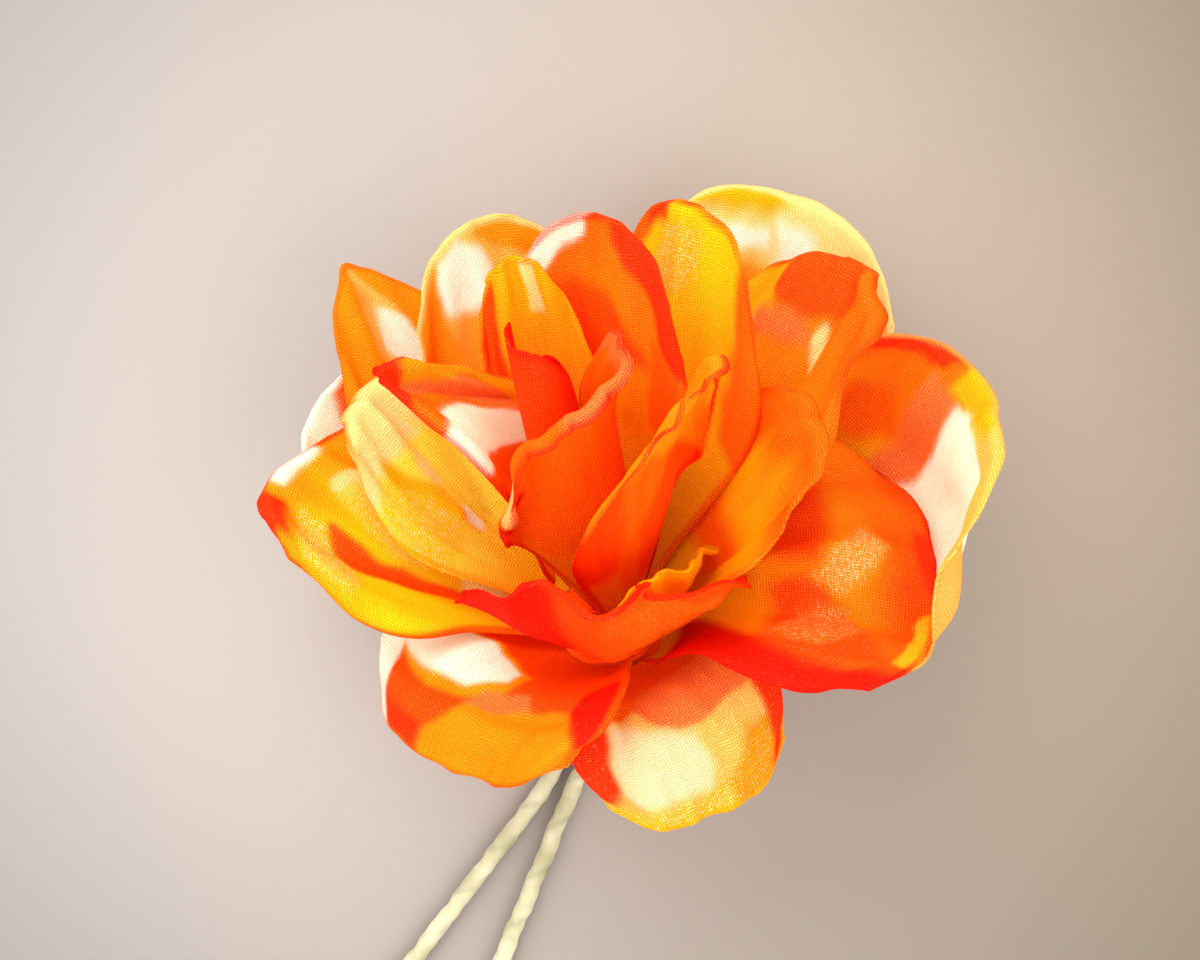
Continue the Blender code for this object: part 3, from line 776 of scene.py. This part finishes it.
def fold_height(folds, s, t, length, width):
    """How far a petal's folds lift each of its points from its smooth shape."""
    height = np.zeros(s.shape)
    place = laid_flat(s, t, length, width)
    for fold in folds:
        start = laid_flat(fold.along, fold.side, length, width)
        away = from_line(place, start, laid_flat(fold.along_to, fold.side_to, length, width))
        height += fold.height * np.exp(-((away / fold.width) ** FOLD_FALL))
    return height


def curled(points, widths, turns, facing):
    """Carries a grid on past its last row with rows that curl outwards."""
    rim = points[-1]
    ahead = points[-1] - points[-2]
    ahead /= np.linalg.norm(ahead, axis=1)[:, None]
    outward = outward_of(points[-3:])[-1] * facing
    radius = widths / np.radians(turns)
    rows = [points]
    for share in np.linspace(0, 1, CURL_STEPS + 1)[1:]:
        angle = np.radians(turns) * share
        away = ahead * (radius * np.sin(angle))[:, None]
        rows.append((rim + away + outward * (radius * (1 - np.cos(angle)))[:, None])[None])
    return np.concatenate(rows)


def carried_on(grid):
    """A grid with its last row repeated for the rows that curl on from it."""
    return np.concatenate([grid, np.repeat(grid[-1:], CURL_STEPS, axis=0)])


def with_tab(points, s, t):
    """The grid with its root carried on, nearly straight, under the binding."""
    columns = points.shape[1]
    back = curled(points[::-1], np.full(columns, TAB), np.full(columns, TAB_TURN), -1)
    s = np.concatenate([np.zeros((CURL_STEPS, columns)), s])
    return back[::-1], s, carried_on(t[::-1])[::-1]


def curl_amounts(lips, side, places, room):
    """How much cloth curls at each place along a side, and how far it turns."""
    widths = np.full(len(places), CURL)
    turns = np.full(len(places), float(CURL_TURN))
    for lip in lips:
        if lip.side == side:
            middle = (lip.start + lip.end) / 2
            away = np.abs(places - middle) / (lip.end - middle)
            share = 1 - smooth_step(away, LIP_FULL, 1.0)
            widths = widths + (lip.width - CURL) * share
            turns = turns + (lip.turn - CURL_TURN) * share
    widths = np.clip(widths, CURL, np.maximum(CURL, CURL_ROOM * room))
    even = np.ones(2 * CURL_EVEN + 1)
    widths = np.convolve(np.pad(widths, CURL_EVEN, mode="edge"), even, "valid") / len(even)
    return widths * (1 - CURL_NARROWER * smooth_step(np.abs(places), *CURL_ENDS)), turns


def curl_rims(points, lips, s, t, room):
    """The grid with its top and its sides curled outwards, and its shares along and across."""
    beyond = 1 + CURL_SHARE * np.linspace(0, 1, CURL_STEPS + 1)[1:, None]
    widths, turns = curl_amounts(lips, "top", t[-1], room[-1])
    points = curled(points, widths, turns, 1)
    s = np.concatenate([s, beyond + np.zeros((1, s.shape[1]))])
    t = carried_on(t)
    room = carried_on(room)
    for side, sign in (("right", 1), ("left", -1)):
        # Turned on its side and, for the left, mirrored, so that the side is the grid's last row
        points, s, t, room = (np.swapaxes(grid[:, ::sign], 0, 1) for grid in (points, s, t, room))
        widths, turns = curl_amounts(lips, side, s[-1], room[-1])
        points = curled(points, widths, turns, -sign)
        s = carried_on(s)
        t = np.concatenate([t, sign * beyond + np.zeros((1, t.shape[1]))])
        room = carried_on(room)
        points, s, t, room = (np.swapaxes(grid, 0, 1)[:, ::sign] for grid in (points, s, t, room))
    return points, s, t


def patch_share(outline, soft, place, length, width):
    """How much of a patch's dye each place has: all inside it, none outside, less at its border."""
    percents = np.array([corner.split() for corner in outline.split(",")], float)
    corners = percents / 100 * (length, width / 2)
    inside = np.zeros(place.shape[:2], bool)
    away = np.full(place.shape[:2], math.inf)
    for start, end in zip(corners, np.roll(corners, -1, axis=0)):
        away = np.minimum(away, from_line(place, start, end))
        along, side = end - start
        spans = (start[1] > place[..., 1]) != (end[1] > place[..., 1])
        crossing = start[0] + (place[..., 1] - start[1]) * along / (side or SMALL)
        inside ^= spans & (place[..., 0] < crossing)
    return smooth_step(np.where(inside, away, -away) + PATCH_SPREAD, -soft, soft)


def dye_and_painted_light_field(dye_and_painted_light, s, t, length, width, edge, random):
    """Each point's dye with painted light and shade, cloudy borders, and its painted glint share."""
    along = s + CLOUDS[0] * waves(7 * s + 3 * t, (1, 2), random)
    along = along + CLOUDS[1] * waves(5 * t - 2 * s, (1, 3), random)
    root, middle, rim, outline = (dyed(tone) for tone in (dye_and_painted_light.root, dye_and_painted_light.middle, dye_and_painted_light.rim, dye_and_painted_light.edge))
    colour = root + (middle - root) * smooth_step(along, *TO_MIDDLE)[..., None]
    colour = colour + (rim - colour) * smooth_step(along, *TO_RIM)[..., None]
    painted_glint_share = np.zeros(s.shape)
    place = laid_flat(s, t, length, width)
    wander = [waves(place @ way, (1, 2, 3), random) for way in WANDER_WAYS]
    place = place + WANDER * np.stack(wander, axis=2)
    # Patches paint light and shade, with some dye, onto the cloth, each with its painted glint
    for tone, soft, painted_glint, corners in dye_and_painted_light.patches:
        share = patch_share(corners, soft, place, length, width)
        painted_glint_share = painted_glint_share + (painted_glint - painted_glint_share) * share
        colour = colour + (dyed(tone) - colour) * share[..., None]
    strength = EDGE_STRENGTH + EDGE_VARIES * waves(6 * t + 4 * s, (1, 2, 3), random)
    share = (1 - smooth_step(edge, *EDGE_BAND)) * strength
    colour = colour + (outline - colour) * share[..., None]
    painted_glint_share = painted_glint_share * (1 - EDGE_DULL * share)
    return np.concatenate([colour, painted_glint_share[..., None]], axis=2)


def thread_places(points):
    """How far each point lies across and along the cloth from the middle of its root."""
    middle = points.shape[1] // 2
    u = lengths(points, axis=1)
    return u - u[:, middle:middle + 1], lengths(points)


def add_piece(name, mesh, finish, node):
    """Adds a mesh as a piece that stands for a node of the model, with its material."""
    mesh.materials.append(finish)
    piece = bpy.data.objects.new(name, mesh)
    bpy.context.scene.collection.objects.link(piece)
    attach(piece, "root")
    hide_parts(node)
    return piece


def cloth_sheet(node, sheet, others, seed, finish):
    """A fine sheet of cloth on a coarse one: folded, rims curled, dyed with painted light and shade, woven.
    """
    random = np.random.default_rng(seed)
    rolled = node == "bud"
    name = node.removeprefix("petal_")
    fine = refine(sheet.points, FINER)
    s, t = shares(fine.shape[0] - 1, fine.shape[1] - 1)
    room_out, room_in = refine(room_beside(sheet, others).transpose(1, 2, 0), FINER).transpose(2, 0, 1)
    u, v = thread_places(fine)
    length, width = v.max(), np.ptp(u, axis=1).max()
    height = fold_height(FOLDS.get(name, ()), s, t, length, width)
    rim = np.maximum(smooth_step(s, RIPPLE_FROM, 1), smooth_step(np.abs(t), RIPPLE_FROM, 1) * s)
    height = height + (0 if rolled else RIPPLE) * rim * waves(3 * t + 2 * s, RIPPLE_WAVES, random)
    height = height + CREASES * smooth_step(s, *CREASES_FROM) * waves(2 * t, CREASE_WAVES, random)
    height = height * smooth_step(s, *STILL_ROOT)
    free = np.maximum(np.where(height > 0, room_out, room_in), SMALL)
    height = free * np.tanh(height / free)
    fine = fine + outward_of(fine) * height[..., None]
    if not rolled:
        fine, s, t = curl_rims(fine, LIPS.get(name, ()), s, t, room_out)
    if name in TABBED:
        fine, s, t = with_tab(fine, s, t)
    fine[..., 2] = np.maximum(fine[..., 2], FINE_CLOTH / 2)

    mesh = grid_mesh(node, fine)
    edge = edge_distance(fine, rolled)
    # The dye with painted light, shade and glints, kept in the mesh's colour attribute
    dyes_and_painted_light = dye_and_painted_light_field(DYES_AND_PAINTED_LIGHT[name], s, t, length, width, edge, random)
    tint = mesh.color_attributes.new("dye_and_painted_light", "FLOAT_COLOR", "POINT")
    tint.data.foreach_set("color", dyes_and_painted_light.astype(np.float32).ravel())
    u, v = thread_places(fine)
    thread = mesh.attributes.new("thread", "FLOAT_VECTOR", "POINT")
    thread.data.foreach_set("vector", np.stack([u, v, edge], axis=2).astype(np.float32).ravel())
    piece = add_piece("cloth_" + node, mesh, finish, node)
    solid = piece.modifiers.new("thickness", "SOLIDIFY")
    solid.thickness = FINE_CLOTH * MM
    solid.offset = 0


class Nodes:
    """Short calls for building a material's nodes."""

    def __init__(self, name):
        self.material = bpy.data.materials.new(name)
        self.material.use_nodes = True
        self.tree = self.material.node_tree
        self.tree.nodes.clear()
        self.out = self.tree.nodes.new("ShaderNodeOutputMaterial")

    def node(self, kind, inputs=None, **settings):
        """A node with its settings, each of the inputs joined to a socket or set to a value."""
        made = self.tree.nodes.new("ShaderNode" + kind)
        for key, value in settings.items():
            setattr(made, key, value)
        for key, value in (inputs or {}).items():
            if isinstance(value, bpy.types.NodeSocket):
                self.tree.links.new(value, made.inputs[key])
            else:
                made.inputs[key].default_value = value
        return made

    def math(self, operation, *values):
        return self.node("Math", dict(enumerate(values)), operation=operation).outputs[0]

    def line(self, value, factor, start):
        """The value times the factor, plus the start."""
        return self.math("MULTIPLY_ADD", value, factor, start)

    def noise(self, vector, scale, detail=2.0):
        return self.node("TexNoise", {"Vector": vector, "Scale": scale, "Detail": detail}).outputs["Fac"]

    def mapped(self, value, low, high, **settings):
        """Where the value lies between low, for 0, and high, for 1."""
        inputs = {"Value": value, "From Min": low, "From Max": high}
        return self.node("MapRange", inputs, **settings).outputs[0]

    def ramp(self, value, low, high, ends=(0, 1)):
        """A colour from low to high, as red, green and blue of 0 to 255, between two values."""
        made = self.node("ValToRGB", {0: value})
        for stop, tone, place in zip(made.color_ramp.elements, (low, high), ends):
            stop.position = place
            stop.color = (*linear(tone), 1)
        return made.outputs[0]

    def scaled(self, colour, factor):
        return self.node("VectorMath", {0: colour, "Scale": factor}, operation="SCALE").outputs[0]

    def bump(self, height, distance, strength):
        """The normal of a relief that is so many millimetres high."""
        inputs = {"Height": height, "Distance": distance * MM, "Strength": strength}
        return self.node("Bump", inputs).outputs["Normal"]

    def principled(self, inputs):
        return self.node("BsdfPrincipled", inputs).outputs[0]

    def finished(self, surface):
        self.tree.links.new(surface, self.out.inputs["Surface"])
        return self.material


# The weave, in millimetres: how far apart its threads lie, how far they waver, and at which heights
# of the weave a thread ends and the gap between two is open. The dye's depth on a thread, how much
# deeper and darker painted shade makes it in a gap, and how evenly it takes to the threads. Then the
# share of the light that passes, and the relief. A painted glint shows where fine specks on the
# threads meet the painted glint share of the dye.
THREAD = 0.27
WAVER = 0.5
WEAVE_GAP = (0.7, -0.3)
WEAVE_GAMMA = 0.9
WEAVE_DEPTH = 0.6
WEAVE_SHADE = 0.2
SLUB_LEAST = 0.91
SLUB = 0.16
PASSED = 0.65
WEAVE_RELIEF = 0.05
SPECK_NOISE = (0.3, 0.7)
SPECKS = 0.7
SPECKS_IN_GAP = -0.4
PAINTED_GLINT_LEVELS = (0.6, 1.5)


def woven_cloth():
    """Thin plain-woven cloth that lets light through, with its dye and painted light, shade and glints from
    the mesh.
    """
    n = Nodes("petal_cloth")
    dye_and_painted_light = n.node("Attribute", attribute_name="dye_and_painted_light").outputs
    thread = n.node("Attribute", attribute_name="thread").outputs["Vector"]
    parts = n.node("SeparateXYZ", {0: thread}).outputs
    waver = n.math("MULTIPLY", n.noise(thread, scale=0.8), WAVER)
    turns = 2 * math.pi / THREAD
    warp, weft = (n.math("SINE", n.math("MULTIPLY", n.math("ADD", parts[k], waver), turns)) for k in (0, 1))
    weave = n.math("MAXIMUM", warp, weft)
    gap = n.mapped(weave, *WEAVE_GAP)
    # Painted shade: the dye deeper and darker in the gaps between the threads
    deeper = n.node("Gamma", {"Color": dye_and_painted_light["Color"], "Gamma": n.line(gap, WEAVE_DEPTH, WEAVE_GAMMA)})
    shade = n.line(gap, -WEAVE_SHADE, 1.0)
    slub = n.line(n.noise(thread, scale=3.0, detail=3.0), SLUB, SLUB_LEAST)
    colour = n.scaled(deeper.outputs[0], n.math("MULTIPLY", shade, slub))
    # Painted glints: specks on the threads, strongest where the dye's painted glint share is high
    speck = n.mapped(n.noise(thread, scale=2.6), *SPECK_NOISE)
    grain = n.line(gap, SPECKS_IN_GAP, n.math("MULTIPLY", speck, SPECKS))
    painted_glint = n.mapped(n.math("ADD", grain, dye_and_painted_light["Alpha"]), *PAINTED_GLINT_LEVELS)
    mixed = n.node("Mix", {0: painted_glint, 6: colour, 7: (*linear(PAINTED_GLINT_TONE), 1)}, data_type="RGBA")
    colour = mixed.outputs[2]
    normal = n.bump(weave, WEAVE_RELIEF, strength=0.8)
    surface = n.principled({
        "Base Color": colour,
        "Normal": normal,
        "Roughness": 0.5,
        "Specular IOR Level": 0.12,
    })
    through = n.node("BsdfTranslucent", {"Color": colour, "Normal": normal}).outputs[0]
    return n.finished(n.node("MixShader", {0: PASSED, 1: surface, 2: through}).outputs[0])


# The crepe tape: its tones, the levels of the noise at which it is the one and the other, how much
# painted shade darkens a turn's edge, where along a turn that edge sets in and is full, and the relief
TAPE_DEEP = (116, 114, 82)
TAPE_PALE = (158, 155, 130)
TAPE_CLOUDS = (0.3, 0.7)
TAPE_SHADE = 0.22
TAPE_EDGE = (0.72, 0.86)
TAPE_RELIEF = 0.06


def wound_tape():
    """Pale green crepe tape: painted shade darkens each turn's edge, with fine wrinkles and soft changes of
    colour.
    """
    n = Nodes("tape")
    where = n.node("TexCoord").outputs["Object"]
    edge = n.node("Attribute", attribute_name="turn").outputs["Fac"]
    tone = n.ramp(n.noise(where, scale=260.0, detail=3.0), TAPE_DEEP, TAPE_PALE, TAPE_CLOUDS)
    wrinkles = n.math("SUBTRACT", n.noise(where, scale=2400.0), edge)
    return n.finished(n.principled({
        "Base Color": n.scaled(tone, n.line(edge, -TAPE_SHADE, 1.0)),
        "Normal": n.bump(wrinkles, TAPE_RELIEF, strength=0.7),
        "Roughness": 0.7,
        "Sheen Weight": 0.2,
    }))


def plain_binding():
    """The cloth strip that binds the petals' roots: orange-red, matt."""
    n = Nodes("binding")
    where = n.node("TexCoord").outputs["Object"]
    return n.finished(n.principled({
        "Base Color": (*linear(FLAME), 1),
        "Normal": n.bump(n.noise(where, scale=900.0), 0.1, strength=0.6),
        "Roughness": 0.7,
        "Specular IOR Level": 0.1,
    }))


# The wound tubes: their step and sides, how far apart the turns of the tape lie, how high their
# edge is, where along a turn it drops, how tightly the lumps follow each other, and the core's steps
TUBE_STEP = 0.3
TUBE_SIDES = 28
TAPE_PITCH = 5.5
TAPE_RIDGE = 0.1
TAPE_DROP = 0.85
LUMPS = 1.1
CORE_STEPS = 12


def wound_tube(name, line, radii, finish):
    """A tube along a line, with the ridge of a tape wound round it and closed ends."""
    random = np.random.default_rng(len(name))
    length = lengths(line)
    even = np.linspace(0, length[-1], int(length[-1] / TUBE_STEP) + 1)
    centre = np.stack([np.interp(even, length, line[:, k]) for k in range(3)], axis=1)
    radius = np.interp(even, length, radii)
    ahead = np.gradient(centre, axis=0)
    ahead /= np.linalg.norm(ahead, axis=1)[:, None]
    side = np.cross(ahead, UP)
    side /= np.linalg.norm(side, axis=1)[:, None]
    over = np.cross(side, ahead)
    angle = np.linspace(0, 2 * math.pi, TUBE_SIDES, endpoint=False)[None, :]
    turn = (even[:, None] / TAPE_PITCH + angle / (2 * math.pi)) % 1
    ridge = TAPE_RIDGE * (smooth_step(turn, 0, TAPE_DROP) - smooth_step(turn, TAPE_DROP, 1))
    lumps = TAPE_RIDGE * waves(even[:, None] * LUMPS + np.cos(angle), (1, 2, 3), random)
    r = radius[:, None] + ridge + lumps - TAPE_RIDGE
    ring = side[:, None] * np.cos(angle)[..., None] + over[:, None] * np.sin(angle)[..., None]
    points = centre[:, None] + ring * r[..., None]
    points[..., 2] = np.maximum(points[..., 2], 0)

    mesh = bpy.data.meshes.new(name)
    tube = bmesh.new()
    tube.verts.layers.float.new("turn")
    rings = [[tube.verts.new(Vector(p) * MM) for p in row] for row in points]
    for a, b in zip(rings, rings[1:]):
        for k in range(TUBE_SIDES):
            j = (k + 1) % TUBE_SIDES
            tube.faces.new((a[k], a[j], b[j], b[k]))
    tube.faces.new(reversed(rings[0]))
    tube.faces.new(rings[-1])
    bmesh.ops.recalc_face_normals(tube, faces=tube.faces)
    tube.to_mesh(mesh)
    tube.free()
    # Painted shade along each turn's edge, which the tape's material darkens by
    edge = smooth_step(turn, *TAPE_EDGE) - smooth_step(turn, TAPE_EDGE[1], 1)
    mesh.attributes["turn"].data.foreach_set("value", edge.astype(np.float32).ravel())
    mesh.shade_smooth()
    add_piece("wound_" + name, mesh, finish, name)


def build_tubes():
    tape = wound_tape()
    heights = np.linspace(CORE_FOOT[1], CORE_TOP[1], CORE_STEPS)
    line = np.array(BASE) + UP * heights[:, None]
    wound_tube("core", line, core_radius(heights), plain_binding())
    line = curve_through([(*point, radius) for point, radius in NECK])
    wound_tube("neck", line[:, :3] + np.array(BASE), line[:, 3], tape)
    for name, route in (("stem_left", STEM_LEFT), ("stem_right", STEM_RIGHT)):
        line = curve_through(route)
        line[:, 2] = np.maximum(line[:, 2], STEM_RADIUS)
        line = line + np.array([BASE[0], BASE[1], 0])
        wound_tube(name, line, np.full(len(line), STEM_RADIUS), tape)


def build_cloth():
    cloth = woven_cloth()
    nodes = ["bud"] + ["petal_" + p.name for p in PETALS]
    sheets = all_sheets()
    for seed, (node, sheet) in enumerate(zip(nodes, sheets)):
        others = [other for other in sheets if other is not sheet]
        cloth_sheet(node, sheet, others, seed, cloth)


# The camera: the photograph's size and where the bloom's base lies in it, in its pixels, how many
# of those make a millimetre at the plane of focus, that plane's height above the base, and the lens
PHOTO = (1200, 960)
BASE_PIXEL = (625, 690)
PIXELS_PER_MM = 11
FOCUS_HEIGHT = 20
LENS = 85
SENSOR = 36


def add_camera():
    camera = bpy.data.objects.new("camera", bpy.data.cameras.new("camera"))
    camera.data.lens = LENS
    camera.data.sensor_width = SENSOR
    x = BASE[0] + (PHOTO[0] / 2 - BASE_PIXEL[0]) / PIXELS_PER_MM
    y = BASE[1] + (BASE_PIXEL[1] - PHOTO[1] / 2) / PIXELS_PER_MM
    z = BASE[2] + FOCUS_HEIGHT + PHOTO[0] / PIXELS_PER_MM * LENS / SENSOR
    camera.location = Vector((x, y, z)) * MM
    camera.data.clip_start = 0.01
    bpy.context.scene.collection.objects.link(camera)
    bpy.context.scene.camera = camera


# The surface, in metres: its size, how little it lies below the flower, its tones to the left and
# to the right, a painted falloff of the light, how many times the way between them fits in a metre,
# the middle of a painted pool of light round the flower, from which it gets darker, from what
# distance to what distance, and how much
FLOOR_SIZE = 6
FLOOR_BELOW = 0.00002
FLOOR_LEFT = (127, 124, 124)
FLOOR_RIGHT = (106, 95, 82)
FLOOR_SLOPE = 8.0
FLOOR_MIDDLE = (-0.002, 0.024, 0)
FLOOR_FALL = (0.025, 0.1)
FLOOR_SHADE = 0.55


def pale_floor():
    """A pale, matt surface with painted light: warmer and darker to the right, palest round the flower."""
    n = Nodes("floor")
    where = n.node("TexCoord").outputs["Object"]
    # Painted falloff of light: darker and warmer to the right
    to_right = n.line(n.node("SeparateXYZ", {0: where}).outputs[0], FLOOR_SLOPE, 0.5)
    tone = n.ramp(to_right, FLOOR_LEFT, FLOOR_RIGHT)
    # Painted pool of light: palest round the flower, darker further away
    away = n.node("VectorMath", {0: where, 1: FLOOR_MIDDLE}, operation="DISTANCE").outputs["Value"]
    fall = n.mapped(away, *FLOOR_FALL, interpolation_type="SMOOTHSTEP")
    tone = n.scaled(tone, n.line(fall, -FLOOR_SHADE, 1.0))
    return n.finished(n.principled({"Base Color": tone, "Roughness": 0.8}))


def add_stage():
    bpy.ops.mesh.primitive_plane_add(size=FLOOR_SIZE, location=(0, 0, -FLOOR_BELOW))
    floor = bpy.context.object
    floor.name = "floor"
    floor.data.materials.append(pale_floor())


# The lamps, each with its place and size in metres, its power and its colour, how far up the
# bloom's axis they point, and the light from all round
Lamp = namedtuple("Lamp", "name place size power colour")
LAMPS = (
    Lamp("back_light", (-0.45, 0.8, 0.8), 1.3, 32, (1.0, 0.95, 0.86)),
    Lamp("soft_box", (-0.7, -0.3, 1.2), 1.2, 8, (1.0, 0.96, 0.9)),
    Lamp("fill", (0.7, -0.5, 0.9), 1.2, 18, (1.0, 0.95, 0.9)),
)
LAMP_AIM = 0.03
STUDIO_COLOUR = (1.0, 0.95, 0.89, 1)
STUDIO_STRENGTH = 2.2


def light():
    aim = Vector(BASE) * MM + Vector(UP) * LAMP_AIM
    for row in LAMPS:
        lamp = bpy.data.objects.new(row.name, bpy.data.lights.new(row.name, "AREA"))
        lamp.data.shape = "DISK"
        lamp.data.size = row.size
        lamp.data.energy = row.power
        lamp.data.color = row.colour
        lamp.location = row.place
        lamp.rotation_euler = (aim - Vector(row.place)).to_track_quat("-Z", "Y").to_euler()
        bpy.context.scene.collection.objects.link(lamp)
    world = bpy.data.worlds.new("studio")
    world.use_nodes = True
    back = world.node_tree.nodes["Background"]
    back.inputs["Color"].default_value = STUDIO_COLOUR
    back.inputs["Strength"].default_value = STUDIO_STRENGTH
    bpy.context.scene.world = world
    bpy.context.scene.view_settings.view_transform = "Standard"


add_camera()
build_cloth()
build_tubes()
add_stage()
light()
